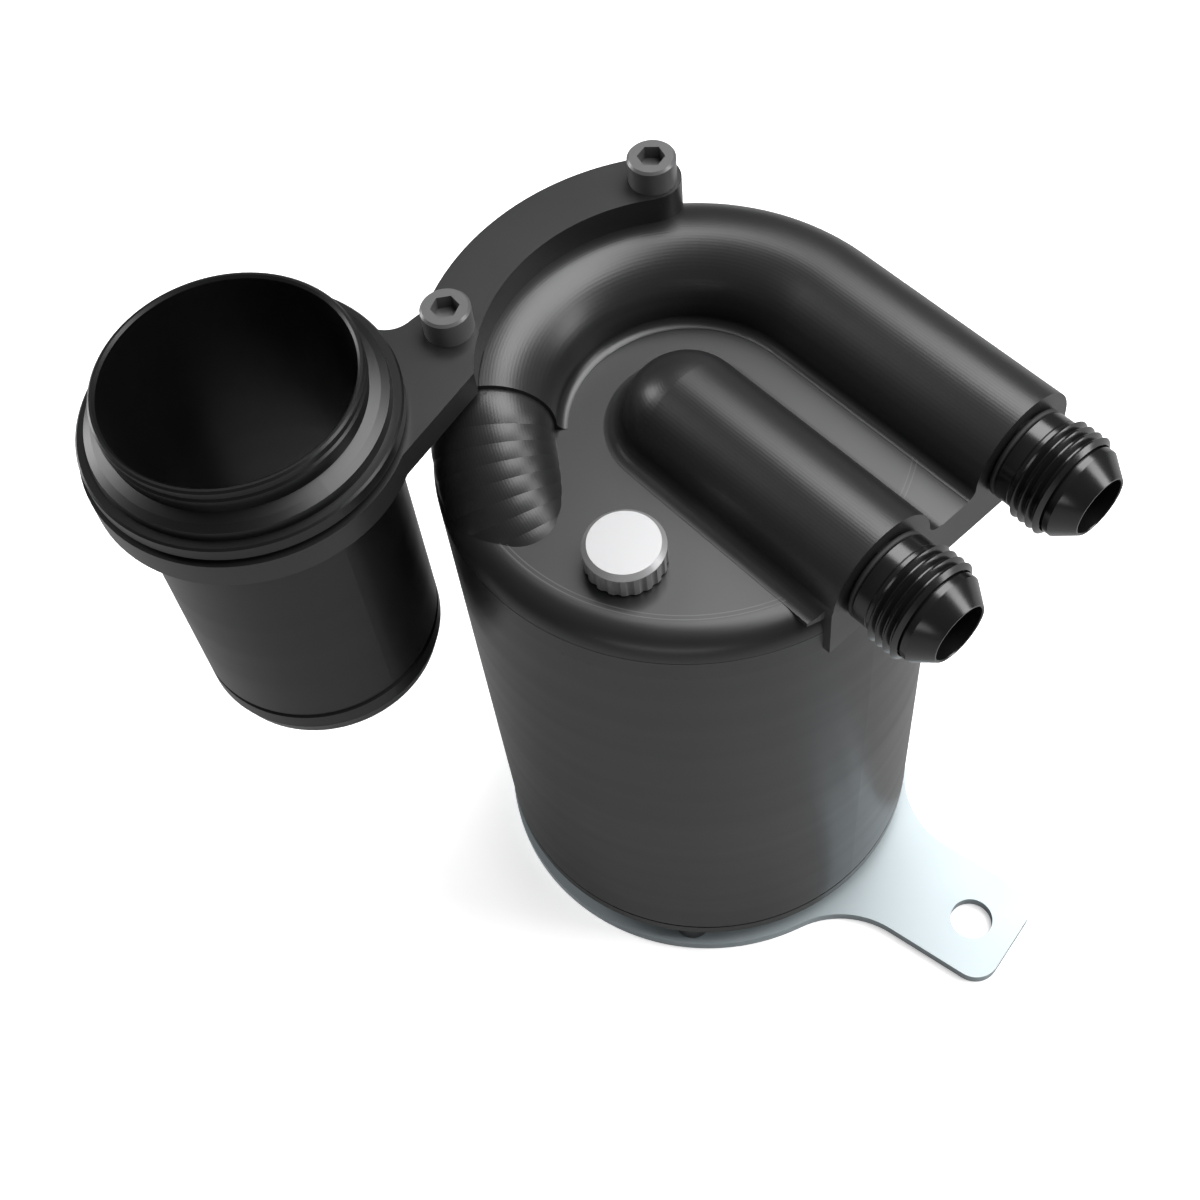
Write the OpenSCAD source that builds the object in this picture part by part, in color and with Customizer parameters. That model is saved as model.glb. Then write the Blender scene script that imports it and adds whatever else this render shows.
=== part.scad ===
// Oil catch can: a turned can with a billet lid, two flare fittings, a dipstick,
// a plated foot bracket and a side plate that carries an air pipe.
// Origin: can axis at the underside of the foot bracket, +X along the fittings, +Z up.

/* [Can] */
// Outside diameter of the can and of the lid
can_od = 104; // [98:1:110]
// Thickness of the can wall above the screen shoulder
can_wall = 3; // [2.5:0.5:4]
// Height of the can tube
can_h = 127.8; // [110:1:160]
// Height of the shoulder that the screens stand on, above the lower end of the can
shoulder_h = 72; // [60:1:80]
// Step of the shoulder into the bore
shoulder_w = 2; // [1.5:0.5:3]

/* [Base cap] */
// Height of the recessed neck under the cap rim
neck_h = 6.9; // [5:0.1:9]
// How far the neck stands back from the rim
neck_in = 4.5; // [3.5:0.5:6]
// Thickness of the cap rim
cap_rim_h = 3; // [2:0.5:4]
// Height of the spigot inside the can
cap_spigot_h = 9; // [7:0.5:12]
// Diameter of each standing lug
lug_d = 9; // [7:0.5:10]

/* [Bracket] */
// Thickness of the plated steel bracket
bracket_t = 3; // [2:0.5:4]
// How far the bracket disc shows round the can
bracket_lip = 0.5; // [0.2:0.1:1]
// Direction of the tab, measured from the fittings
tab_turn = 11.3; // [-20:0.1:30]
// Width of the tab
tab_w = 27.4; // [24:0.2:32]
// Distance of the tab end from the can axis
tab_reach = 92.2; // [88:0.2:100]
// Radius of the tab corners
tab_corner_r = 6; // [3:0.5:8]
// Radius of the sweep between disc and tab
tab_sweep_r = 22; // [14:1:26]
// Diameter of the tab hole
tab_hole_d = 10.5; // [8.5:0.5:12]
// Distance of the tab hole from the can axis
tab_hole_x = 80.7; // [77:0.1:83]

/* [Lid] */
// Height of the straight skirt of the lid
skirt_h = 5.7; // [4:0.1:8]
// Radius of the lid's rounded edge
edge_r = 5.9; // [3:0.1:7]
// Depth of the lid spigot inside the can
lid_spigot_h = 12; // [10:0.5:16]
// Height of the lid's ceiling above the seam
ceiling_h = 2.4; // [1:0.1:3]
// Radius of the fillet at the foot of the near duct
duct_fillet_r = 4; // [2:0.5:5]
// Radius of the fillet at the foot of the far duct
bend_fillet_r = 2; // [1:0.5:4]
// Outer radius of a duct
duct_r = 13; // [12:0.5:13.5]
// Height of the duct axis above the lid floor
duct_rise = 2.3; // [1:0.1:4]
// Angle at which the curved duct begins to dip
duct_dip = 228; // [222:1:232]
// Angle that the dipping end spans
dip_span = 38; // [30:1:44]
// Number of tool strokes on the dipping end
dip_steps = 9; // [6:1:16]
// Radius of the oil passage in a duct
passage_r = 7; // [6:0.5:7.5]

/* [Fittings] */
// Outside diameter of the thread
thread_d = 22.2; // [20:0.1:24]
// Diameter of the plain collar of a fitting
fit_neck_d = 19.9; // [18:0.1:20]
// Length of the plain collar
fit_neck_l = 5; // [4:0.5:8]
// Length of the thread
thread_l = 7; // [6:0.5:10]
// Bore of a fitting
fit_bore_d = 12.3; // [10:0.1:12.5]
// Diameter of the flare's mouth
flare_mouth_d = 13.5; // [13.2:0.1:14.5]
// Half angle of the flare
flare_angle = 37; // [35:1:40]

/* [Side plate] */
// Thickness of the side plate
plate_t = 6; // [5:0.5:8]
// Width of the curved part of the side plate
plate_w = 12; // [11.5:0.1:13]
// Half of the angle between the two plate screws, measured from the back
screw_turn = 36; // [32:1:38]
// Height of the plate's underside above the lid floor
plate_rise = 15.8; // [15.6:0.1:19]
// Radius of the fillet between the arm and the collar
arm_fillet_r = 6; // [4:0.5:8]
// Radius of the collar round the pipe
collar_r = 31.7; // [30:0.1:34]

/* [Plate screws] */
// Nominal diameter of a cap screw
screw_d = 6; // [6:0.5:6.5]
// Length of a cap screw under its head
screw_l = 20; // [16:1:22]

/* [Air pipe] */
// Outside diameter of the pipe
pipe_od = 52.4; // [50:0.1:54]
// Wall of the pipe
pipe_wall = 2; // [1.5:0.1:3]
// Length of the pipe below the collar's top face
pipe_down = 77.3; // [60:0.1:90]
// Length of the pipe above the collar's top face
pipe_up = 14.4; // [13:0.1:20]
// Radius of the pipe's shoulder flange
pipe_flange_r = 31; // [29.5:0.1:33]
// Pipe axis, across from the can axis
pipe_x = -47; // [-49:0.5:-45]
// Pipe axis, along from the can axis
pipe_y = -69.5; // [-74:0.5:-68]

/* [Dipstick] */
// Diameter of the knob
knob_d = 16.3; // [15:0.1:17]
// Height of the knob
knob_h = 6.4; // [5:0.1:8]
// Number of flutes round the knob
knob_flutes = 20; // [12:1:24]
// Diameter of the measuring rod
rod_d = 4; // [3:0.5:4.5]
// Gap between the rod's lower end and the cap inside
rod_gap = 8; // [4:1:20]
// Dipstick axis, towards the fittings
stick_x = 15.3; // [13:0.1:17]
// Dipstick axis, across from the can axis
stick_y = -31.1; // [-33:0.1:-29]

/* [Screens] */
// Thickness of a perforated screen
screen_t = 1.5; // [1:0.5:2.5]
// Diameter of a screen hole
screen_hole_d = 5; // [3:0.5:5.5]
// Height of the wire mesh pad
pad_h = 22; // [16:1:26]

/* [Drop tube] */
// Wall of the drop tube
drop_wall = 1.2; // [1:0.1:1.5]
// Length of the drop tube below the lid's ceiling
drop_l = 98; // [90:1:108]

/* [Hidden] */
$fn = 96;

// Running clearance of a turned fit, and the cut depth that clears a face
fit = 0.1;
eps = 0.5;

can_r = can_od / 2;
bore_r = can_r - can_wall;
low_bore_r = bore_r - shoulder_w;
neck_z = bracket_t;
rim_z = neck_z + neck_h;
can_z = rim_z + cap_rim_h;
seam_z = can_z + can_h;
floor_z = seam_z + skirt_h + edge_r;
ceiling_z = seam_z + ceiling_h;
axis_z = floor_z + duct_rise;
bend_r = can_r - duct_r;
face_x = can_r;
cap_top_z = can_z + 1.5;

// Small steps that keep neighbouring round faces apart
hair = 0.05;
foot_step = 0.1;
foot_bite = 0.05;
stroke_flat = 0.02;

seal_r = 1.2;
shank_l = 11;
shank_wall = 2.5;
socket_l = shank_l + 1;
lug_turns = [-49, 71, 191];
lug_x = can_r - lug_d / 2 - 1;
lug_screw_d = 4;

plate_z = floor_z + plate_rise;
plate_top_z = plate_z + plate_t;
plate_mid_r = can_r - plate_w / 2;
plate_in_r = can_r - plate_w;
screw_turns = [180 - screw_turn, 180 + screw_turn];
plate_end_turn = 231;
head_d = screw_d * 5 / 3;
head_h = screw_d;
hex_af = screw_d * 5 / 6;

pipe_r = pipe_od / 2;
pipe_top_z = plate_top_z + pipe_up;
pipe_low_z = plate_top_z - pipe_down;
pipe_pos = [pipe_x, pipe_y];
clip_t = 1.2;
clip_gap = 0.3;
clip_z = plate_z - clip_gap - clip_t;

knob_lift = 0.3;
stub_d = 8;
stub_l = 8.5;
knob_z = floor_z + knob_lift;
stick_pos = [stick_x, stick_y];

drop_r = passage_r + drop_wall;
tube_top_z = axis_z - passage_r - 0.6;
shoulder_z = can_z + shoulder_h;
pad_z = shoulder_z + screen_t;
upper_z = pad_z + pad_h;
ring_z = upper_z + screen_t;

// Two-dimensional outlines

// Foot of a duct on its -x side: a concave fillet between the lid floor and the crown.
// The origin is the point of the lid floor under the duct axis.
module duct_foot(f) {
    toe = sqrt(pow(duct_r + f, 2) - pow(f + foot_step - duct_rise, 2)) - foot_bite;
    touch_y = duct_rise + (f + foot_step - duct_rise) * duct_r / (duct_r + f);
    difference() {
        translate([-toe, -1]) square([toe - duct_r / 2, 1 + touch_y - foot_step]);
        translate([-toe, f + foot_step]) circle(r = f);
    }
}

// Section of the far duct at its distance from the can axis
module far_section() {
    translate([bend_r, axis_z]) circle(r = duct_r);
    translate([bend_r, seam_z]) square([duct_r, axis_z - seam_z]);
    translate([bend_r, floor_z]) duct_foot(bend_fillet_r);
}

// Outline of the curved part that the lid flange and the side plate share, from the first
// plate screw to the given angle, with a round end at each given angle
module arc_band(outer, last, ends) {
    difference() {
        circle(r = outer);
        circle(r = plate_in_r);
        rotate(last) translate([-3 * can_r, 0]) square([6 * can_r, 3 * can_r]);
        rotate(screw_turns[0]) translate([-3 * can_r, -3 * can_r]) square([6 * can_r, 3 * can_r]);
    }
    for (a = ends)
        rotate(a) translate([(outer + plate_in_r) / 2, 0])
            circle(r = (outer - plate_in_r) / 2 - 0.1);
}

// Body of an O-ring
module o_ring(major, minor) {
    rotate_extrude() translate([major, 0]) circle(r = minor, $fn = 32);
}

// Groove for an O-ring in a turned spigot, open outwards
module seal_groove(outer, minor, z) {
    translate([0, 0, z]) difference() {
        cylinder(r = outer + eps, h = 2 * minor, center = true);
        cylinder(r = outer - 2 * minor, h = 3 * minor, center = true);
    }
}

// Foot and can

module bracket() {
    tab_x = tab_reach - tab_corner_r;
    half = tab_w / 2;
    disc_r = can_r + bracket_lip;
    sweep_y = half + tab_sweep_r;
    sweep_x = sqrt(pow(disc_r + tab_sweep_r, 2) - sweep_y * sweep_y);
    web_y = sweep_y * disc_r / (disc_r + tab_sweep_r);
    color("lightsteelblue") difference() {
        linear_extrude(bracket_t) difference() {
            union() {
                circle(r = disc_r);
                rotate(tab_turn) {
                    for (side = [-1, 1])
                        translate([tab_x, side * (half - tab_corner_r)]) circle(r = tab_corner_r);
                    translate([0, -half]) square([tab_x, tab_w]);
                    translate([0, -half + tab_corner_r])
                        square([tab_reach, tab_w - 2 * tab_corner_r]);
                    difference() {
                        translate([0, -web_y]) square([sweep_x, 2 * web_y]);
                        for (side = [-1, 1])
                            translate([sweep_x, side * sweep_y]) circle(r = tab_sweep_r);
                    }
                }
            }
            rotate(tab_turn) translate([tab_hole_x, 0]) circle(d = tab_hole_d);
        }
        for (a = lug_turns) rotate(a) translate([lug_x, 0, 0]) {
            translate([0, 0, -eps]) cylinder(d = lug_screw_d + 2 * fit, h = bracket_t + 2 * eps);
            translate([0, 0, -0.01])
                cylinder(d1 = 2 * lug_screw_d + 2 * fit, d2 = lug_screw_d + 2 * fit, h = lug_screw_d / 2);
        }
    }
}

module bracket_screws() {
    color("silver") for (a = lug_turns) rotate(a) translate([lug_x, 0, 0]) difference() {
        union() {
            cylinder(d = lug_screw_d, h = bracket_t + neck_h - 1.5);
            cylinder(d1 = 2 * lug_screw_d, d2 = lug_screw_d, h = lug_screw_d / 2);
        }
        translate([0, 0, -eps]) cylinder(d = lug_screw_d * 0.72, h = 1.2 + eps, $fn = 6);
    }
}

module base_cap() {
    neck_r = can_r - neck_in;
    spigot_r = low_bore_r - fit;
    color("dimgray") difference() {
        union() {
            translate([0, 0, neck_z + eps]) cylinder(r = neck_r, h = neck_h);
            translate([0, 0, rim_z]) cylinder(r = can_r, h = cap_rim_h);
            translate([0, 0, can_z - eps]) cylinder(r = spigot_r, h = cap_spigot_h + eps);
            for (a = lug_turns) rotate(a)
                translate([lug_x, 0, neck_z]) cylinder(d = lug_d, h = neck_h + eps);
        }
        translate([0, 0, cap_top_z]) cylinder(r = spigot_r - 4, h = cap_spigot_h);
        seal_groove(spigot_r, seal_r, can_z + cap_spigot_h / 2);
        for (a = lug_turns) rotate(a)
            translate([lug_x, 0, neck_z - eps]) cylinder(d = lug_screw_d + 2 * fit, h = neck_h - 1 + eps);
    }
}

module base_seal() {
    color("black") translate([0, 0, can_z + cap_spigot_h / 2])
        o_ring(low_bore_r - seal_r - fit, seal_r - 0.1);
}

module can_body() {
    groove_h = 0.6;
    color([0.2, 0.2, 0.21]) difference() {
        translate([0, 0, can_z]) cylinder(r = can_r, h = can_h);
        translate([0, 0, can_z - eps]) cylinder(r = low_bore_r, h = can_h + 2 * eps);
        translate([0, 0, shoulder_z]) cylinder(r = bore_r, h = can_h);
        translate([0, 0, can_z - eps]) difference() {
            cylinder(r = can_r + eps, h = groove_h + eps);
            cylinder(r = can_r - groove_h, h = groove_h + eps);
        }
        translate([0, 0, ring_z]) cylinder(r = bore_r + 1, h = screen_t);
    }
}

// Screens, mesh pad and tube inside the can

module screen_disc(z, thick, holes) {
    r = bore_r - fit;
    pitch = 11;
    rows = floor((low_bore_r - screen_hole_d) / pitch);
    translate([0, 0, z]) difference() {
        cylinder(r = r, h = thick);
        translate([0, 0, -eps]) cylinder(r = drop_r + 0.3, h = thick + 2 * eps);
        translate([stick_pos[0], stick_pos[1], -eps]) cylinder(d = rod_d + 1, h = thick + 2 * eps);
        if (holes) for (k = [2 : rows], n = [0 : 6 * k - 1]) {
            at = k * pitch * [cos(n * 60 / k), sin(n * 60 / k)];
            if (norm(at - stick_pos) > (screen_hole_d + rod_d) / 2 + 2)
                translate([at[0], at[1], -eps]) cylinder(d = screen_hole_d, h = thick + 2 * eps);
        }
    }
}

module lower_screen() { color("gainsboro") screen_disc(shoulder_z, screen_t, true); }

module mesh_pad() { color("gray") screen_disc(pad_z, pad_h, false); }

module upper_screen() { color("gainsboro") screen_disc(upper_z, screen_t, true); }

// Open spring ring that holds the screens down
module screen_ring() {
    gap = 10;
    color("silver") translate([0, 0, ring_z]) difference() {
        cylinder(r = bore_r + 1 - fit, h = screen_t - fit);
        translate([0, 0, -eps]) cylinder(r = bore_r - 2.5, h = screen_t + 2 * eps);
        translate([0, -gap / 2, -eps]) cube([can_r, gap, screen_t + 2 * eps]);
    }
}

module drop_tube() {
    low = ceiling_z - drop_l;
    color("silver") translate([0, 0, low]) difference() {
        cylinder(r = drop_r, h = tube_top_z - low);
        translate([0, 0, -eps]) cylinder(r = passage_r, h = tube_top_z - low + 2 * eps);
    }
}

// Lid

// Turned floor and rounded edge, up to the block that carries the ducts
module lid_turned() {
    round_r = edge_r - hair;
    rotate([0, 0, 90]) rotate_extrude(angle = 270 - asin(duct_r / can_r) + 1) {
        translate([0, seam_z]) square([can_r, skirt_h]);
        translate([0, seam_z]) square([can_r - edge_r, floor_z - seam_z]);
        translate([can_r - hair - round_r, floor_z - round_r]) circle(r = round_r);
    }
    translate([0, 0, seam_z - lid_spigot_h]) cylinder(r = bore_r - fit, h = lid_spigot_h + eps);
}

module straight_ducts() {
    side = duct_r + 0.4;
    // Block under both ducts
    translate([0, -side, seam_z]) cube([face_x, side + can_r, floor_z - seam_z]);
    // Near duct, with its ball nose over the can axis
    translate([0, 0, axis_z]) rotate([0, 90, 0]) rotate_extrude() intersection() {
        union() {
            circle(r = duct_r);
            square([duct_r, face_x]);
        }
        translate([0, -duct_r]) square([duct_r, face_x + duct_r]);
    }
    // Foot of the near duct
    intersection() {
        translate([0, 0, floor_z]) rotate([90, 0, 90]) linear_extrude(face_x) {
            duct_foot(duct_fillet_r);
            mirror([1, 0]) duct_foot(duct_fillet_r);
        }
        union() {
            translate([0, 0, seam_z]) cylinder(r = can_r - hair, h = 3 * duct_r);
            translate([0, -side, seam_z]) cube([face_x, 3 * side, 3 * duct_r]);
        }
    }
    translate([0, 0, floor_z]) rotate([0, 0, 90]) rotate_extrude(angle = 180)
        mirror([1, 0]) duct_foot(duct_fillet_r);
    // Far duct, straight part
    rotate([90, 0, 90]) linear_extrude(face_x) far_section();
}

// One stroke of the ball-nosed tool: a round top on an upright side
module mill_stroke(r, top) {
    low = ceiling_z - 1;
    rotate_extrude() intersection() {
        union() {
            translate([0, top - r]) circle(r = r);
            if (top - r > low) translate([0, low]) square([r, top - r - low]);
        }
        translate([0, low]) square([2 * r, top - stroke_flat - low]);
    }
}

// Turned lid with the dipping end of the far duct, which is added stroke by stroke
module milled_ramp(k) {
    ball_r = duct_r - 0.6;
    drop = duct_r + duct_rise - 0.6;
    union() {
        if (k > 1) milled_ramp(k - 1);
        else lid_turned();
        rotate(duct_dip + dip_span * (k - 0.7) / dip_steps) translate([bend_r, 0, 0])
            mill_stroke(ball_r, axis_z + duct_r - drop * pow(k / dip_steps, 1.25));
    }
}

module lid_passages() {
    // Near passage and the hole that takes the drop tube
    translate([-passage_r, 0, axis_z]) rotate([0, 90, 0])
        cylinder(r = passage_r, h = face_x + passage_r + eps);
    translate([0, 0, ceiling_z - eps])
        cylinder(r = drop_r + fit / 2, h = tube_top_z - ceiling_z + eps);
    translate([0, 0, ceiling_z]) cylinder(r = passage_r - 0.5, h = axis_z - ceiling_z);
    // Far passage, round the bend and down through the ceiling
    translate([0, bend_r, axis_z]) rotate([0, 90, 0]) cylinder(r = passage_r, h = face_x + eps);
    translate([0, 0, axis_z]) rotate([0, 0, 90]) rotate_extrude(angle = duct_dip - 90)
        translate([bend_r, 0]) circle(r = passage_r);
    rotate(duct_dip) translate([bend_r, 0, ceiling_z - eps])
        cylinder(r = passage_r - 1, h = axis_z - ceiling_z + eps);
    // Sockets of the two fittings
    for (y = [0, bend_r]) translate([face_x - socket_l, y, axis_z])
        rotate([0, 90, 0]) cylinder(d = fit_bore_d + 2 * shank_wall, h = socket_l + eps);
}

module lid() {
    color([0.2, 0.2, 0.21]) difference() {
        union() {
            milled_ramp(dip_steps);
            straight_ducts();
            // Bend of the far duct along the lid edge
            rotate([0, 0, 90]) rotate_extrude(angle = duct_dip - 90) far_section();
            // Raised flange under the side plate
            translate([0, 0, seam_z]) linear_extrude(plate_z - seam_z)
                arc_band(can_r - hair, screw_turns[1], screw_turns);
        }
        // Inside of the spigot, kept open below the ceiling
        translate([0, 0, seam_z - lid_spigot_h - eps])
            cylinder(r = bore_r - 3.5, h = lid_spigot_h + ceiling_h + eps);
        seal_groove(bore_r - fit, seal_r, seam_z - lid_spigot_h / 2);
        lid_passages();
        for (a = screw_turns) rotate(a) translate([plate_mid_r, 0, plate_top_z - screw_l - 1])
            cylinder(d = screw_d + 2 * fit, h = screw_l + 1);
        // Dipstick hole with a pocket for its seal
        translate([stick_pos[0], stick_pos[1], ceiling_z - eps])
            cylinder(d = stub_d + fit, h = floor_z - ceiling_z + 2 * eps);
        translate([stick_pos[0], stick_pos[1], floor_z - 1.2]) cylinder(d = stub_d + 4.4, h = 2);
    }
}

module lid_seal() {
    color("black") translate([0, 0, seam_z - lid_spigot_h / 2])
        o_ring(bore_r - seal_r - fit, seal_r - 0.1);
}

// Fittings

module fitting(y) {
    root = thread_d / 2 - 1.1;
    neck_r = fit_neck_d / 2;
    land_r = neck_r - 0.1;
    mouth_r = flare_mouth_d / 2;
    shank_r = fit_bore_d / 2 + shank_wall;
    x1 = fit_neck_l;
    x2 = x1 + thread_l;
    x3 = x2 + 1.3;
    x4 = x3 + 1.6;
    x5 = x4 + (land_r - mouth_r) / tan(flare_angle);
    color([0.16, 0.16, 0.17]) translate([face_x, y, axis_z]) rotate([0, 90, 0]) difference() {
        rotate_extrude() polygon([[0, -shank_l], [shank_r - fit, -shank_l], [shank_r - fit, 0.3],
            [neck_r, 0.3], [neck_r, x1], [root, x1 + 0.3], [thread_d / 2, x1 + 1.2],
            [thread_d / 2, x2 - 0.8], [root, x2], [root - 0.6, x2], [root - 0.6, x3], [land_r, x3],
            [land_r, x4], [mouth_r, x5], [0, x5]]);
        translate([0, 0, -shank_l - eps]) cylinder(d = fit_bore_d, h = shank_l + x5 + 2 * eps);
        translate([0, 0, 0.29]) difference() {
            cylinder(r = shank_r + 2 * seal_r, h = seal_r + 0.2);
            cylinder(r = shank_r - fit, h = seal_r + 0.2);
        }
    }
}

module near_fitting() { fitting(0); }

module far_fitting() { fitting(bend_r); }

module fitting_seal(y) {
    color("black") translate([face_x + seal_r / 2 + 0.35, y, axis_z]) rotate([0, 90, 0])
        o_ring(fit_bore_d / 2 + 2.6 + seal_r / 2, seal_r / 2);
}

module near_seal() { fitting_seal(0); }

module far_seal() { fitting_seal(bend_r); }

// Side plate and its screws

// Arm that leaves the curved bar on the inside of the first screw and runs into the collar
module plate_arm(inner_end) {
    outer_x = can_r * cos(212);
    fillet_x = outer_x - arm_fillet_r;
    fillet_y = pipe_y + sqrt(pow(collar_r + arm_fillet_r, 2) - pow(pipe_x - fillet_x, 2));
    difference() {
        polygon([(plate_in_r - hair) * [cos(inner_end), sin(inner_end)],
            [pipe_x + 0.945 * collar_r, pipe_y + 0.13 * collar_r],
            pipe_pos,
            [fillet_x, fillet_y - arm_fillet_r - 1],
            [fillet_x, fillet_y],
            [outer_x, fillet_y],
            [outer_x, -(can_r - 0.1) * sin(32)],
            plate_mid_r * [cos(screw_turns[1]), sin(screw_turns[1])]]);
        translate([fillet_x, fillet_y]) circle(r = arm_fillet_r + hair);
    }
}

module side_plate() {
    color([0.2, 0.2, 0.21]) translate([0, 0, plate_z]) difference() {
        union() {
            linear_extrude(plate_t) arc_band(can_r, plate_end_turn, [screw_turns[0]]);
            linear_extrude(plate_t) plate_arm(plate_end_turn);
            translate([pipe_x, pipe_y, 0]) cylinder(r = collar_r, h = plate_t);
        }
        translate([pipe_x, pipe_y, -eps]) cylinder(r = pipe_r + fit, h = plate_t + 2 * eps);
        for (a = screw_turns) rotate(a)
            translate([plate_mid_r, 0, -eps]) cylinder(d = screw_d + 0.6, h = plate_t + 2 * eps);
    }
}

module plate_screws() {
    color([0.15, 0.15, 0.15]) for (a = screw_turns)
        rotate(a) translate([plate_mid_r, 0, plate_top_z]) difference() {
            union() {
                rotate_extrude() polygon([[0, 0], [head_d / 2, 0], [head_d / 2, head_h - 0.5],
                    [head_d / 2 - 0.5, head_h], [0, head_h]]);
                translate([0, 0, -screw_l]) cylinder(d = screw_d, h = screw_l + eps);
            }
            translate([0, 0, head_h / 2]) rotate(20)
                cylinder(d = hex_af / cos(30), h = head_h, $fn = 6);
        }
}

// Air pipe, held in the collar by its shoulder and a ring under the plate
module air_pipe() {
    r = pipe_r;
    rim_r = r - 0.6;
    in_r = r - pipe_wall;
    top = pipe_top_z;
    low = pipe_low_z;
    seat = plate_top_z;
    color([0.2, 0.2, 0.21]) translate([pipe_x, pipe_y, 0]) difference() {
        rotate_extrude() difference() {
            polygon([[in_r, low], [r - 2.2, low], [r - 1.2, low + 1], [r, low + 5], [r, low + 9],
                [r - 0.5, low + 9.4], [r - 0.5, low + 10.2], [r, low + 10.6],
                [r, seat], [r + 2.3, seat], [r + 2.3, seat + 1.4],
                [pipe_flange_r, seat + 1.4], [pipe_flange_r, seat + 4],
                [pipe_flange_r - 0.4, seat + 4.4], [r + 2.8, seat + 4.4], [r + 2.5, seat + 6.4],
                [r + 1, seat + 7.2], [rim_r - 0.4, seat + 8], [rim_r - 0.4, top - 4],
                [rim_r, top - 3.6], [rim_r, top - 2.8], [rim_r - 0.4, top - 2.4],
                [rim_r - 0.4, top - 1.4], [rim_r, top - 1], [rim_r, top - 0.4],
                [rim_r - 0.4, top], [in_r + 0.5, top], [in_r, top - 0.5]]);
            translate([r - 1.2, plate_z + plate_t / 2 - seal_r * 0.8]) square([2, 1.6 * seal_r]);
            translate([r - 1, clip_z]) square([2, clip_t + fit]);
        }
    }
}

module pipe_seal() {
    color("black") translate([pipe_x, pipe_y, plate_z + plate_t / 2]) o_ring(pipe_r - 0.55, 0.6);
}

module pipe_ring() {
    gap = 8;
    color("silver") translate([pipe_x, pipe_y, clip_z + fit / 2]) difference() {
        cylinder(r = pipe_r + 2, h = clip_t);
        translate([0, 0, -eps]) cylinder(r = pipe_r - 0.95, h = 3);
        rotate(225) translate([0, -gap / 2, -eps]) cube([pipe_od, gap, 3]);
    }
}

// Dipstick

module dipstick_knob() {
    flute_r = 0.85;
    color("silver") translate([stick_pos[0], stick_pos[1], knob_z]) difference() {
        union() {
            rotate_extrude() polygon([[0, 0], [knob_d / 2 - 0.4, 0], [knob_d / 2, 0.4],
                [knob_d / 2, knob_h - 1], [knob_d / 2 - 1, knob_h], [0, knob_h]]);
            translate([0, 0, -stub_l]) cylinder(d = stub_d - fit, h = stub_l + eps);
        }
        for (k = [0 : knob_flutes - 1]) rotate(360 * k / knob_flutes)
            translate([knob_d / 2 + flute_r * 0.4, 0, -eps])
                cylinder(r = flute_r, h = knob_h - 1.2 + eps, $fn = 16);
        translate([0, 0, -eps]) difference() {
            cylinder(d = stub_d + 4.6, h = eps + 0.6);
            cylinder(d = stub_d - fit, h = eps + 0.6);
        }
        translate([0, 0, -stub_l - eps]) cylinder(d = rod_d + fit, h = 6 + eps);
    }
}

module dipstick_rod() {
    top = knob_z - stub_l + 6;
    low = cap_top_z + rod_gap;
    color("gainsboro") translate([stick_pos[0], stick_pos[1], 0]) difference() {
        translate([0, 0, low]) cylinder(d = rod_d, h = top - low);
        for (z = [low + 6, low + 30]) translate([0, 0, z]) difference() {
            cylinder(d = rod_d + 1, h = 0.6);
            cylinder(d = rod_d - 0.8, h = 0.6);
        }
    }
}

module dipstick_seal() {
    color("black") translate([stick_pos[0], stick_pos[1], floor_z - 0.2])
        o_ring(stub_d / 2 + 0.95, 0.85);
}

bracket();
bracket_screws();
base_cap();
base_seal();
can_body();
lower_screen();
mesh_pad();
upper_screen();
screen_ring();
drop_tube();
lid();
lid_seal();
near_fitting();
near_seal();
far_fitting();
far_seal();
side_plate();
plate_screws();
air_pipe();
pipe_seal();
pipe_ring();
dipstick_knob();
dipstick_rod();
dipstick_seal();
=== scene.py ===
import math

import bpy
from mathutils import Matrix, Vector


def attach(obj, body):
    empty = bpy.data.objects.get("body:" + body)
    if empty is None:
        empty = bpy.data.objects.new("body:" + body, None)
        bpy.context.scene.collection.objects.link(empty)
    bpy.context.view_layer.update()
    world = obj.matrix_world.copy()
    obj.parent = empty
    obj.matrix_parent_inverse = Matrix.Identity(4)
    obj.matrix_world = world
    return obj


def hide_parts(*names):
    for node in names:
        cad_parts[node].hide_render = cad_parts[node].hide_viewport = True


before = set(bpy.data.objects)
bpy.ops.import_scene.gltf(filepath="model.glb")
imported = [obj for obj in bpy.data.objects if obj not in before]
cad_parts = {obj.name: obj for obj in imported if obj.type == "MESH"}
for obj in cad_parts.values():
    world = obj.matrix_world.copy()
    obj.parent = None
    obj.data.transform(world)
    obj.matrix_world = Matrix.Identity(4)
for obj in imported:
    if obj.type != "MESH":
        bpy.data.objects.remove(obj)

bl_info = {
    "name": "Oil catch can looks",
    "version": (1, 0, 0),
    "blender": (4, 5, 0),
    "location": "View3D > Sidebar > Catch can",
    "description": "Finishes, threaded fittings and studio for the oil catch can",
    "category": "Object",
}

MM = 0.001
# Lid face that the fittings stand on, height of their axes and the far one's place, in mm
FACE_X, AXIS_Z, FAR_Y = 52.0, 154.6, 39.0
# Radii of the two turned lines near the edge of the lid floor, in metres
FLOOR_RINGS = (0.0448, 0.0457)
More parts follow.
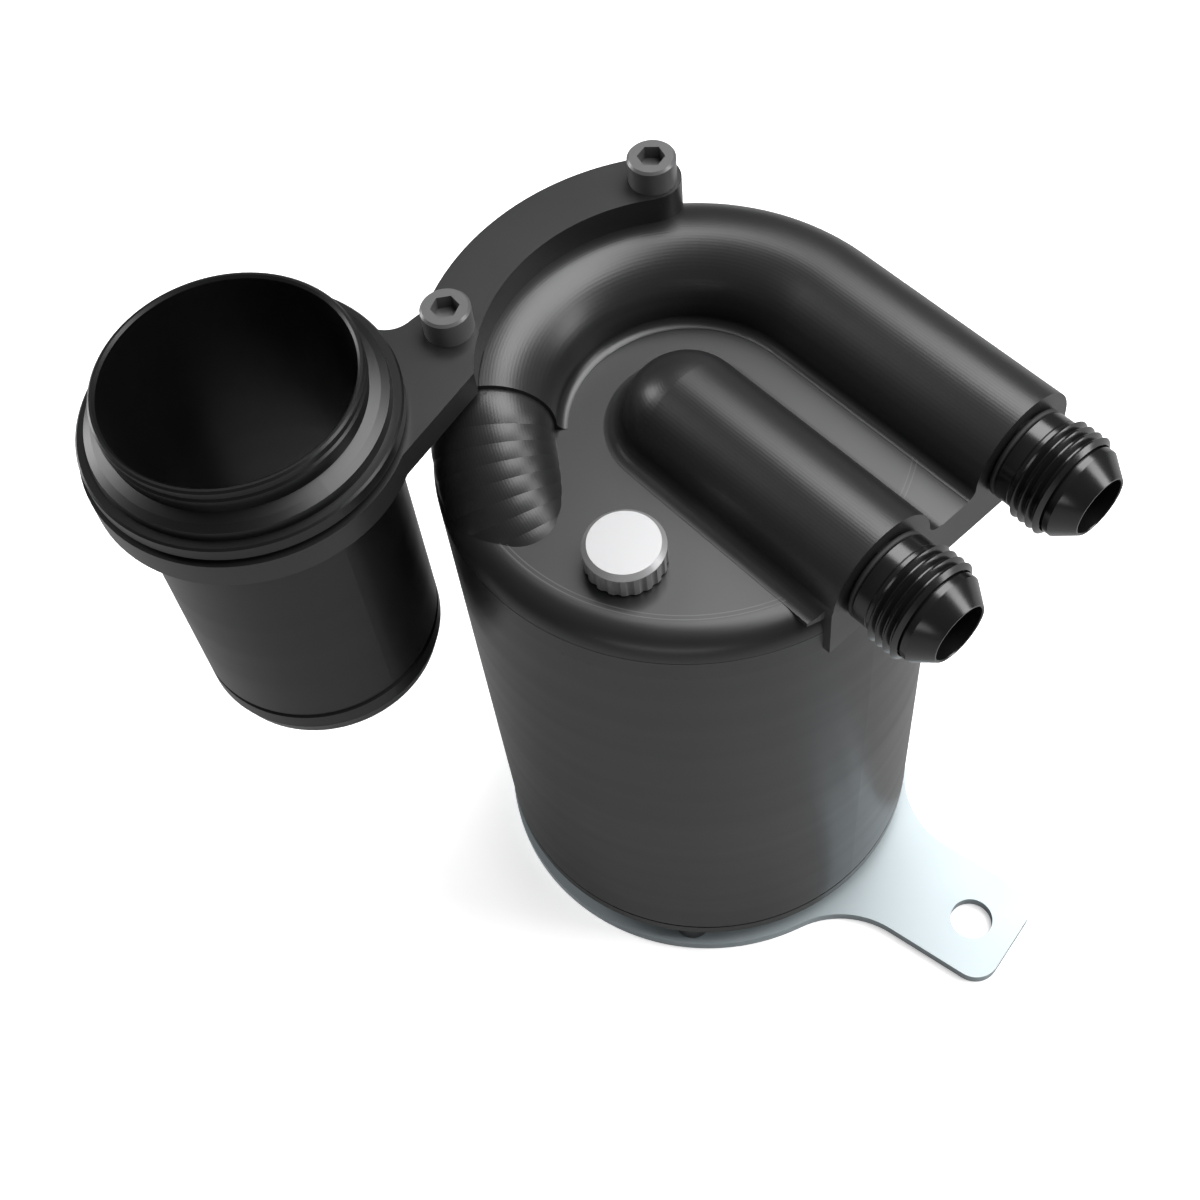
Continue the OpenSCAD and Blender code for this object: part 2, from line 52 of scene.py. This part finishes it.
# Camera solved from the photograph, in the part's frame
EYE = (0.164906, -0.144695, 0.442653)
EYE_RIGHT = (0.67374, 0.73498, -0.07670)
EYE_LOOK = (-0.42977, 0.30528, -0.84977)
SLOT_NODES = {
    "zinc_plate": ["bracket"],
    "bright_steel": ["bracket_screws", "lower_screen", "upper_screen", "screen_ring",
                     "drop_tube", "pipe_ring", "dipstick_rod"],
    "wire_mesh": ["mesh_pad"],
    "dark_steel": ["plate_screws"],
    "bright_aluminium": ["dipstick_knob"],
    "seal_rubber": ["base_seal", "lid_seal", "near_seal", "far_seal", "pipe_seal",
                    "dipstick_seal"],
    "can_black": ["base_cap", "can_body"],
    "milled_black": ["lid", "side_plate"],
    "pipe_black": ["air_pipe"],
}


# Settings

class FittingSettings(bpy.types.PropertyGroup):
    crest_d: bpy.props.FloatProperty(
        name="Crest diameter", description="Thread diameter over its crests, in millimetres",
        default=22.2, min=20.0, max=22.2)
    root_d: bpy.props.FloatProperty(
        name="Root diameter", description="Thread diameter at its roots, in millimetres",
        default=20.0, min=18.0, max=21.0)
    pitch: bpy.props.FloatProperty(
        name="Pitch", description="Distance from crest to crest, in millimetres",
        default=1.814, min=1.0, max=2.5)
    crests: bpy.props.IntProperty(
        name="Crests", description="Number of thread crests", default=4, min=1, max=4)
    first: bpy.props.FloatProperty(
        name="First crest", description="First crest from the lid face, in millimetres",
        default=5.95, min=5.5, max=7.0)
    sides: bpy.props.IntProperty(
        name="Sides", description="Facets round the fitting", default=128, min=32, max=256)


class FinishSettings(bpy.types.PropertyGroup):
    line_gap: bpy.props.FloatProperty(
        name="Tool line gap", description="Distance between milled lines, in millimetres",
        default=0.62, min=0.2, max=2.0)
    line_depth: bpy.props.FloatProperty(
        name="Tool line strength", description="Strength of the milled lines",
        default=0.16, min=0.0, max=1.0, subtype="FACTOR")
    turn_depth: bpy.props.FloatProperty(
        name="Turned line strength", description="Strength of the turned lines on the can",
        default=0.10, min=0.0, max=1.0, subtype="FACTOR")
    black: bpy.props.FloatVectorProperty(
        name="Black", description="Colour of the black anodised skin",
        default=(0.012, 0.012, 0.0125), size=3, min=0.0, max=1.0, subtype="COLOR")


class StageSettings(bpy.types.PropertyGroup):
    key_power: bpy.props.FloatProperty(
        name="Key light", description="Power of the large overhead light", default=30.0,
        min=0.0, unit="POWER")
    side_power: bpy.props.FloatProperty(
        name="Side lights", description="Power of the lights at the sides", default=9.0,
        min=0.0, unit="POWER")
    fill: bpy.props.FloatProperty(
        name="Fill", description="Strength of the light from all round", default=0.12,
        min=0.0, max=2.0)
    lens: bpy.props.FloatProperty(
        name="Lens", description="Focal length on a 36 mm sensor", default=54.525,
        min=10.0, max=200.0, unit="CAMERA")


# Node group helpers

def new_group(name, kind, inputs, outputs):
    """Makes a node group with sockets given as (name, type, default)."""
    group = bpy.data.node_groups.new(name, kind)
    for label, sort, default in inputs:
        socket = group.interface.new_socket(label, in_out="INPUT", socket_type=sort)
        if default is not None:
            socket.default_value = default
    for label, sort in outputs:
        group.interface.new_socket(label, in_out="OUTPUT", socket_type=sort)
    return group, group.nodes.new("NodeGroupInput"), group.nodes.new("NodeGroupOutput")


def calc(tree, operation, first, second=None, third=None):
    """Adds a math node; sockets are linked and numbers set."""
    node = tree.nodes.new("ShaderNodeMath")
    node.operation = operation
    for index, value in enumerate((first, second, third)):
        if value is None:
            continue
        if isinstance(value, bpy.types.NodeSocket):
            tree.links.new(value, node.inputs[index])
        else:
            node.inputs[index].default_value = value
    return node.outputs[0]


def noise(tree, vector, scale, detail=3.0):
    """Adds a noise texture and gives its grey value."""
    node = tree.nodes.new("ShaderNodeTexNoise")
    node.inputs["Scale"].default_value = scale
    node.inputs["Detail"].default_value = detail
    tree.links.new(vector, node.inputs["Vector"])
    return node.outputs["Fac"]


# Shader groups: values and normals only

def milled_group():
    """Lines left by a ball mill that follows the ducts: straight beside the fittings and
    round the can axis behind it."""
    group, entry, out = new_group(
        "Milled lines", "ShaderNodeTree",
        [("Position", "NodeSocketVector", None), ("Gap", "NodeSocketFloat", 0.0006),
         ("Strength", "NodeSocketFloat", 0.2), ("Floor height", "NodeSocketFloat", 0.1523),
         ("Top height", "NodeSocketFloat", 0.168)],
        [("Normal", "NodeSocketVector"), ("Roughness", "NodeSocketFloat"),
         ("Ring glint", "NodeSocketFloat")])
    split = group.nodes.new("ShaderNodeSeparateXYZ")
    group.links.new(entry.outputs["Position"], split.inputs[0])
    x, y, z = split.outputs
    radius = calc(group, "SQRT", calc(group, "ADD", calc(group, "MULTIPLY", x, x),
                                      calc(group, "MULTIPLY", y, y)))
    ahead = calc(group, "GREATER_THAN", x, 0.0)
    along = calc(group, "ADD", calc(group, "MULTIPLY", ahead, calc(group, "ABSOLUTE", y)),
                 calc(group, "MULTIPLY", calc(group, "SUBTRACT", 1.0, ahead), radius))
    wander = calc(group, "MULTIPLY", noise(group, entry.outputs["Position"], 60.0), 0.0004)
    phase = calc(group, "DIVIDE", calc(group, "ADD", along, wander), entry.outputs["Gap"])
    wave = calc(group, "ABSOLUTE", calc(group, "SINE", calc(group, "MULTIPLY", phase, math.pi)))
    raised = calc(group, "MULTIPLY",
                  calc(group, "GREATER_THAN", z,
                       calc(group, "ADD", entry.outputs["Floor height"], 0.0006)),
                  calc(group, "LESS_THAN", z, entry.outputs["Top height"]))
    # Two fine turned lines near the edge of the floor; their mask also carries a painted highlight,
    # a lighter grey standing in for the glint on their edges
    flat = calc(group, "LESS_THAN",
                calc(group, "ABSOLUTE",
                     calc(group, "SUBTRACT", z, entry.outputs["Floor height"])), 0.0002)
    line = [calc(group, "LESS_THAN",
                 calc(group, "ABSOLUTE", calc(group, "SUBTRACT", radius, ring)), 0.00011)
            for ring in FLOOR_RINGS]
    rings = calc(group, "MULTIPLY", calc(group, "ADD", *line), flat)
    grain = noise(group, entry.outputs["Position"], 2600.0, 2.0)
    height = calc(group, "ADD", calc(group, "MULTIPLY", calc(group, "MULTIPLY", wave, raised), 1.0),
                  calc(group, "MULTIPLY", grain, 0.35))
    height = calc(group, "SUBTRACT", height, calc(group, "MULTIPLY", rings, 2.0))
    bump = group.nodes.new("ShaderNodeBump")
    bump.inputs["Distance"].default_value = 0.00004
    group.links.new(entry.outputs["Strength"], bump.inputs["Strength"])
    group.links.new(height, bump.inputs["Height"])
    group.links.new(bump.outputs["Normal"], out.inputs["Normal"])
    cloud = noise(group, entry.outputs["Position"], 45.0)
    group.links.new(calc(group, "ADD", 0.30, calc(group, "MULTIPLY", cloud, 0.12)),
                    out.inputs["Roughness"])
    # Painted highlight: the mask of the two turned lines goes out to lighten their colour
    group.links.new(rings, out.inputs["Ring glint"])
    return group


def turned_group():
    """Lines left by turning round the vertical axis, with a fine grain."""
    group, entry, out = new_group(
        "Turned lines", "ShaderNodeTree",
        [("Position", "NodeSocketVector", None), ("Strength", "NodeSocketFloat", 0.2)],
        [("Normal", "NodeSocketVector"), ("Roughness", "NodeSocketFloat")])
    squash = group.nodes.new("ShaderNodeMapping")
    squash.inputs["Scale"].default_value = (6.0, 6.0, 900.0)
    group.links.new(entry.outputs["Position"], squash.inputs["Vector"])
    lines = noise(group, squash.outputs[0], 1.0, 6.0)
    band = group.nodes.new("ShaderNodeMapping")
    band.inputs["Scale"].default_value = (2.0, 2.0, 110.0)
    group.links.new(entry.outputs["Position"], band.inputs["Vector"])
    bands = noise(group, band.outputs[0], 1.0, 2.0)
    grain = noise(group, entry.outputs["Position"], 2200.0, 2.0)
    height = calc(group, "ADD", lines, calc(group, "MULTIPLY", grain, 0.25))
    bump = group.nodes.new("ShaderNodeBump")
    bump.inputs["Distance"].default_value = 0.00005
    group.links.new(entry.outputs["Strength"], bump.inputs["Strength"])
    group.links.new(height, bump.inputs["Height"])
    group.links.new(bump.outputs["Normal"], out.inputs["Normal"])
    group.links.new(calc(group, "ADD", 0.27, calc(group, "MULTIPLY", bands, 0.16)),
                    out.inputs["Roughness"])
    return group


def grain_group():
    """Fine grain and soft clouding for plated, sawn and moulded surfaces."""
    group, entry, out = new_group(
        "Fine grain", "ShaderNodeTree",
        [("Position", "NodeSocketVector", None), ("Scale", "NodeSocketFloat", 900.0),
         ("Strength", "NodeSocketFloat", 0.1)],
        [("Normal", "NodeSocketVector"), ("Cloud", "NodeSocketFloat")])
    fine = group.nodes.new("ShaderNodeTexNoise")
    group.links.new(entry.outputs["Position"], fine.inputs["Vector"])
    group.links.new(entry.outputs["Scale"], fine.inputs["Scale"])
    bump = group.nodes.new("ShaderNodeBump")
    bump.inputs["Distance"].default_value = 0.00005
    group.links.new(entry.outputs["Strength"], bump.inputs["Strength"])
    group.links.new(fine.outputs["Fac"], bump.inputs["Height"])
    group.links.new(bump.outputs["Normal"], out.inputs["Normal"])
    group.links.new(noise(group, entry.outputs["Position"], 28.0), out.inputs["Cloud"])
    return group


# Materials

def blank(name, color, metallic, roughness):
    """Makes a material with one plain skin."""
    mat = bpy.data.materials.new(name)
    mat.use_nodes = True
    skin = mat.node_tree.nodes["Principled BSDF"]
    skin.inputs["Base Color"].default_value = (*color, 1.0)
    skin.inputs["Metallic"].default_value = metallic
    skin.inputs["Roughness"].default_value = roughness
    return mat, mat.node_tree, skin


def add_group(tree, group, values):
    """Puts a shader group in a material, fed with object coordinates."""
    place = tree.nodes.new("ShaderNodeTexCoord")
    node = tree.nodes.new("ShaderNodeGroup")
    node.node_tree = group
    tree.links.new(place.outputs["Object"], node.inputs["Position"])
    for key, value in values.items():
        node.inputs[key].default_value = value
    return node


def black_metal(name, group, values, color, specular=0.5):
    """Anodised black: a dark dielectric skin over metal."""
    mat, tree, skin = blank(name, color, 0.0, 0.35)
    skin.inputs["Specular IOR Level"].default_value = specular
    node = add_group(tree, group, values)
    tree.links.new(node.outputs["Normal"], skin.inputs["Normal"])
    tree.links.new(node.outputs["Roughness"], skin.inputs["Roughness"])
    return mat, tree, skin, node


def grain_metal(name, group, color, metallic, low, high, scale, strength):
    """Grained skin whose roughness wanders between a low and a high value."""
    mat, tree, skin = blank(name, color, metallic, low)
    node = add_group(tree, group, {"Scale": scale, "Strength": strength})
    tree.links.new(node.outputs["Normal"], skin.inputs["Normal"])
    rough = tree.nodes.new("ShaderNodeMapRange")
    rough.inputs["To Min"].default_value = low
    rough.inputs["To Max"].default_value = high
    tree.links.new(node.outputs["Cloud"], rough.inputs["Value"])
    tree.links.new(rough.outputs["Result"], skin.inputs["Roughness"])
    return mat


def build_materials(finish):
    """Makes the finish of every material slot."""
    milled, turned, grain = milled_group(), turned_group(), grain_group()
    black = tuple(finish.black)
    mats = {}
    mats["milled_black"], tree, skin, node = black_metal(
        "Milled black", milled,
        {"Gap": finish.line_gap * MM, "Strength": finish.line_depth}, black)
    # Painted highlight: the two turned lines of the lid floor get a lighter grey, standing in for
    # the glint on their edges
    painted_ring_glint = tree.nodes.new("ShaderNodeMix")
    painted_ring_glint.data_type = "RGBA"
    tree.links.new(node.outputs["Ring glint"], painted_ring_glint.inputs[0])
    painted_ring_glint.inputs["A"].default_value = (*black, 1.0)
    painted_ring_glint.inputs["B"].default_value = (0.05, 0.05, 0.052, 1.0)
    tree.links.new(painted_ring_glint.outputs["Result"], skin.inputs["Base Color"])
    mats["can_black"] = black_metal(
        "Turned black", turned, {"Strength": finish.turn_depth}, black)[0]
    mats["pipe_black"] = black_metal(
        "Pipe black", turned, {"Strength": finish.turn_depth * 0.5},
        (black[0] * 0.2, black[1] * 0.2, black[2] * 0.2), 0.42)[0]
    mats["fitting_black"] = grain_metal(
        "Fitting black", grain, (0.006, 0.006, 0.0064), 0.0, 0.18, 0.27, 1500.0, 0.06)
    mats["zinc_plate"] = grain_metal(
        "Zinc plate", grain, (0.36, 0.41, 0.43), 0.25, 0.32, 0.5, 700.0, 0.12)
    mats["bright_aluminium"] = grain_metal(
        "Bright aluminium", grain, (0.36, 0.36, 0.365), 0.6, 0.36, 0.5, 1800.0, 0.1)
    mats["bright_steel"] = grain_metal(
        "Bright steel", grain, (0.60, 0.60, 0.61), 1.0, 0.25, 0.4, 1500.0, 0.08)
    mats["dark_steel"] = grain_metal(
        "Dark steel", grain, (0.11, 0.11, 0.112), 0.4, 0.3, 0.45, 1800.0, 0.15)
    mats["seal_rubber"] = grain_metal(
        "Seal rubber", grain, (0.012, 0.012, 0.012), 0.0, 0.6, 0.75, 1200.0, 0.1)
    mats["wire_mesh"] = grain_metal(
        "Wire mesh", grain, (0.42, 0.42, 0.43), 0.9, 0.4, 0.6, 420.0, 1.0)
    return mats


# Threaded fittings

def lathe(name, profile, sides):
    """Turns (along, radius) points round +X into a closed ring of quads."""
    points, faces, count = [], [], len(profile)
    for step in range(sides):
        turn = 2 * math.pi * step / sides
        points += [(a, r * math.cos(turn), r * math.sin(turn)) for a, r in profile]
        after = (step + 1) % sides
        for k in range(count):
            nxt = (k + 1) % count
            faces.append((step * count + k, after * count + k,
                          after * count + nxt, step * count + nxt))
    mesh = bpy.data.meshes.new(name)
    mesh.from_pydata([tuple(c * MM for c in p) for p in points], [], faces)
    mesh.update()
    return mesh


def fitting_profile(root):
    """Section of a fitting in millimetres from the lid face, outside then bore."""
    soft = 0.15
    outside = [
        (-11.0, 8.55), (1.75, 8.55), (1.75, 9.95 - soft), (1.75 + soft, 9.95),
        (5.0 - soft, 9.95), (5.0, 9.95 - soft), (5.2, root), (12.0, root), (12.1, 9.4),
        (13.2, 9.4), (13.3, 9.85 - soft), (13.3 + soft, 9.85), (14.9 - soft, 9.85),
        (14.95, 9.72), (18.85, 6.78), (19.014, 6.6), (19.014, 6.3), (18.85, 6.15),
    ]
    return outside + [(-11.0, 6.15)]


def ridge_nodes():
    """Thread crests: two cones back to back, repeated along the fitting."""
    group, entry, out = new_group(
        "Thread crests", "GeometryNodeTree",
        [("Geometry", "NodeSocketGeometry", None), ("Crests", "NodeSocketInt", 4),
         ("Pitch", "NodeSocketFloat", 0.0018), ("First", "NodeSocketFloat", 0.006),
         ("Root radius", "NodeSocketFloat", 0.01), ("Crest radius", "NodeSocketFloat", 0.011),
         ("Half width", "NodeSocketFloat", 0.0008), ("Sides", "NodeSocketInt", 96),
         ("Material", "NodeSocketMaterial", None)],
        [("Geometry", "NodeSocketGeometry")])
    nodes, links = group.nodes, group.links
    rise = nodes.new("GeometryNodeMeshCone")
    fall = nodes.new("GeometryNodeMeshCone")
    for cone in (rise, fall):
        cone.fill_type = "NONE"
        links.new(entry.outputs["Sides"], cone.inputs["Vertices"])
        links.new(entry.outputs["Half width"], cone.inputs["Depth"])
    links.new(entry.outputs["Root radius"], rise.inputs["Radius Bottom"])
    links.new(entry.outputs["Crest radius"], rise.inputs["Radius Top"])
    links.new(entry.outputs["Crest radius"], fall.inputs["Radius Bottom"])
    links.new(entry.outputs["Root radius"], fall.inputs["Radius Top"])
    shift = nodes.new("ShaderNodeCombineXYZ")
    links.new(entry.outputs["Half width"], shift.inputs["Z"])
    lower = nodes.new("GeometryNodeTransform")
    links.new(fall.outputs["Mesh"], lower.inputs["Geometry"])
    links.new(shift.outputs[0], lower.inputs["Translation"])
    pair = nodes.new("GeometryNodeJoinGeometry")
    links.new(rise.outputs["Mesh"], pair.inputs[0])
    links.new(lower.outputs["Geometry"], pair.inputs[0])
    closed = nodes.new("GeometryNodeMergeByDistance")
    closed.inputs["Distance"].default_value = 1e-6
    links.new(pair.outputs[0], closed.inputs["Geometry"])
    turned = nodes.new("GeometryNodeTransform")
    turned.inputs["Rotation"].default_value = (0.0, math.pi / 2, 0.0)
    links.new(closed.outputs["Geometry"], turned.inputs["Geometry"])
    row = nodes.new("GeometryNodeMeshLine")
    step = nodes.new("ShaderNodeCombineXYZ")
    start = nodes.new("ShaderNodeCombineXYZ")
    links.new(entry.outputs["Pitch"], step.inputs["X"])
    links.new(entry.outputs["First"], start.inputs["X"])
    links.new(entry.outputs["Crests"], row.inputs["Count"])
    links.new(start.outputs[0], row.inputs["Start Location"])
    links.new(step.outputs[0], row.inputs["Offset"])
    copies = nodes.new("GeometryNodeInstanceOnPoints")
    links.new(row.outputs["Mesh"], copies.inputs["Points"])
    links.new(turned.outputs["Geometry"], copies.inputs["Instance"])
    whole = nodes.new("GeometryNodeJoinGeometry")
    links.new(entry.outputs["Geometry"], whole.inputs[0])
    links.new(copies.outputs["Instances"], whole.inputs[0])
    real = nodes.new("GeometryNodeRealizeInstances")
    links.new(whole.outputs[0], real.inputs[0])
    dress = nodes.new("GeometryNodeSetMaterial")
    links.new(real.outputs[0], dress.inputs["Geometry"])
    links.new(entry.outputs["Material"], dress.inputs["Material"])
    links.new(dress.outputs[0], out.inputs[0])
    return group


def settle(obj):
    """Bakes the modifiers of an object into a plain mesh."""
    view = bpy.context.evaluated_depsgraph_get()
    mesh = bpy.data.meshes.new_from_object(obj.evaluated_get(view))
    obj.modifiers.clear()
    obj.data = mesh
    mesh.name = obj.name
    for face in mesh.polygons:
        face.use_smooth = True
    mesh.set_sharp_from_angle(angle=math.radians(32))


def build_fitting(name, y, settings, group, material):
    """One flare fitting at the lid face, at the origin with its place in its mesh."""
    obj = bpy.data.objects.new(
        name, lathe(name, fitting_profile(settings.root_d / 2), settings.sides))
    bpy.context.scene.collection.objects.link(obj)
    crests = obj.modifiers.new("Thread", "NODES")
    crests.node_group = group
    values = {
        "Crests": settings.crests, "Pitch": settings.pitch * MM,
        "First": settings.first * MM, "Root radius": settings.root_d / 2 * MM,
        "Crest radius": settings.crest_d / 2 * MM, "Half width": 0.78 * MM,
        "Sides": settings.sides, "Material": material,
    }
    for item in group.interface.items_tree:
        if item.in_out == "INPUT" and item.name in values:
            crests[item.identifier] = values[item.name]
    settle(obj)
    obj.data.transform(Matrix.Translation((FACE_X * MM, y * MM, AXIS_Z * MM)))
    obj.data.update()
    return obj


# Operators

class CATCHCAN_OT_finishes(bpy.types.Operator):
    """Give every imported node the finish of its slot"""
    bl_idname = "catchcan.finishes"
    bl_label = "Finishes"

    def execute(self, context):
        mats = build_materials(context.scene.catchcan_finish)
        for slot, nodes in SLOT_NODES.items():
            for node in nodes:
                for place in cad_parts[node].material_slots:
                    place.material = mats[slot]
        return {"FINISHED"}


class CATCHCAN_OT_fittings(bpy.types.Operator):
    """Build the two threaded flare fittings"""
    bl_idname = "catchcan.fittings"
    bl_label = "Fittings"

    def execute(self, context):
        group = ridge_nodes()
        material = bpy.data.materials["Fitting black"]
        for name, node, y in (("near_flare_fitting", "near_fitting", 0.0),
                              ("far_flare_fitting", "far_fitting", FAR_Y)):
            piece = build_fitting(name, y, context.scene.catchcan_fitting, group, material)
            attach(piece, "can")
            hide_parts(node)
        return {"FINISHED"}


class CATCHCAN_OT_stage(bpy.types.Operator):
    """Set up the floor, lights, backdrop and camera"""
    bl_idname = "catchcan.stage"
    bl_label = "Stage"

    def execute(self, context):
        scene, stage = context.scene, context.scene.catchcan_stage
        mesh = bpy.data.meshes.new("Floor")
        half = 3.0
        low = -0.0002
        corners = [(-half, -half, low), (half, -half, low), (half, half, low), (-half, half, low)]
        mesh.from_pydata(corners, [], [(0, 1, 2, 3)])
        floor = bpy.data.objects.new("Floor", mesh)
        scene.collection.objects.link(floor)
        mesh.materials.append(floor_material())
        target = Vector((0.0, 0.0, 0.12))
        for name, spot, size, power in (
                ("Key", (0.10, 0.55, 1.25), (1.3, 0.9), stage.key_power),
                ("Left", (-1.1, -0.55, 0.55), (0.4, 1.2), stage.side_power * 1.5),
                ("Right", (0.95, 0.75, 0.45), (0.35, 1.1), stage.side_power),
                ("Front", (0.75, -1.0, 0.35), (0.9, 0.25), stage.side_power * 0.2)):
            lamp = bpy.data.lights.new(name, "AREA")
            lamp.shape = "RECTANGLE"
            lamp.size, lamp.size_y = size
            lamp.energy = power
            obj = bpy.data.objects.new(name, lamp)
            scene.collection.objects.link(obj)
            obj.matrix_world = Matrix.Translation(spot) @ (
                (target - Vector(spot)).to_track_quat("-Z", "Y").to_matrix().to_4x4())
        world = bpy.data.worlds.new("Backdrop")
        scene.world = world
        backdrop(world, stage.fill)
        lens = bpy.data.cameras.new("Camera")
        lens.sensor_width = 36.0
        lens.lens = stage.lens
        lens.clip_start = 0.01
        eye = bpy.data.objects.new("Camera", lens)
        scene.collection.objects.link(eye)
        right = Vector(EYE_RIGHT).normalized()
        look = Vector(EYE_LOOK).normalized()
        up = right.cross(look).normalized()
        right = look.cross(up)
        turn = Matrix((right, up, -look)).transposed().to_4x4()
        eye.matrix_world = Matrix.Translation(EYE) @ turn
        scene.camera = eye
        scene.view_settings.view_transform = "Standard"
        return {"FINISHED"}


def floor_material():
    """White paper: lit by the lamps, and lifted to white where the camera sees it, more so
    far out, where the lamps no longer reach."""
    mat, tree, skin = blank("Paper", (0.92, 0.92, 0.92), 0.0, 0.9)
    skin.inputs["Specular IOR Level"].default_value = 0.1
    path = tree.nodes.new("ShaderNodeLightPath")
    shade = tree.nodes.new("ShaderNodeMix")
    shade.data_type = "RGBA"
    shade.inputs["A"].default_value = (0.38, 0.38, 0.38, 1.0)
    shade.inputs["B"].default_value = (0.92, 0.92, 0.92, 1.0)
    tree.links.new(path.outputs["Is Camera Ray"], shade.inputs[0])
    tree.links.new(shade.outputs["Result"], skin.inputs["Base Color"])
    place = tree.nodes.new("ShaderNodeTexCoord")
    length = tree.nodes.new("ShaderNodeVectorMath")
    length.operation = "LENGTH"
    tree.links.new(place.outputs["Object"], length.inputs[0])
    lift = tree.nodes.new("ShaderNodeMapRange")
    lift.inputs["From Min"].default_value = 0.35
    lift.inputs["From Max"].default_value = 1.3
    lift.inputs["To Min"].default_value = 0.42
    lift.inputs["To Max"].default_value = 0.96
    tree.links.new(length.outputs["Value"], lift.inputs["Value"])
    glow = calc(tree, "MULTIPLY", path.outputs["Is Camera Ray"], lift.outputs["Result"])
    skin.inputs["Emission Color"].default_value = (1.0, 1.0, 1.0, 1.0)
    tree.links.new(glow, skin.inputs["Emission Strength"])
    return mat


def backdrop(world, fill):
    """Plain white for the camera and a soft grey for everything else."""
    world.use_nodes = True
    tree = world.node_tree
    sky = tree.nodes["Background"]
    path = tree.nodes.new("ShaderNodeLightPath")
    strength = calc(tree, "ADD", calc(tree, "MULTIPLY", path.outputs["Is Camera Ray"],
                                      1.0 - fill), fill)
    sky.inputs["Color"].default_value = (1.0, 1.0, 1.0, 1.0)
    tree.links.new(strength, sky.inputs["Strength"])


class CATCHCAN_PT_panel(bpy.types.Panel):
    bl_idname = "CATCHCAN_PT_panel"
    bl_label = "Catch can"
    bl_space_type = "VIEW_3D"
    bl_region_type = "UI"
    bl_category = "Catch can"

    def draw(self, context):
        scene = context.scene
        for settings, names, operator in (
                (scene.catchcan_finish, ("line_gap", "line_depth", "turn_depth", "black"),
                 "catchcan.finishes"),
                (scene.catchcan_fitting,
                 ("crest_d", "root_d", "pitch", "crests", "first", "sides"),
                 "catchcan.fittings"),
                (scene.catchcan_stage, ("key_power", "side_power", "fill", "lens"),
                 "catchcan.stage")):
            box = self.layout.box()
            for name in names:
                box.prop(settings, name)
            box.operator(operator)


CLASSES = (FittingSettings, FinishSettings, StageSettings, CATCHCAN_OT_finishes,
           CATCHCAN_OT_fittings, CATCHCAN_OT_stage, CATCHCAN_PT_panel)


def register():
    for item in CLASSES:
        bpy.utils.register_class(item)
    bpy.types.Scene.catchcan_fitting = bpy.props.PointerProperty(type=FittingSettings)
    bpy.types.Scene.catchcan_finish = bpy.props.PointerProperty(type=FinishSettings)
    bpy.types.Scene.catchcan_stage = bpy.props.PointerProperty(type=StageSettings)


def unregister():
    del bpy.types.Scene.catchcan_stage
    del bpy.types.Scene.catchcan_finish
    del bpy.types.Scene.catchcan_fitting
    for item in reversed(CLASSES):
        bpy.utils.unregister_class(item)


def main():
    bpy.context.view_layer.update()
    register()
    bpy.ops.catchcan.finishes()
    bpy.ops.catchcan.fittings()
    bpy.ops.catchcan.stage()


if __name__ == "__main__":
    main()
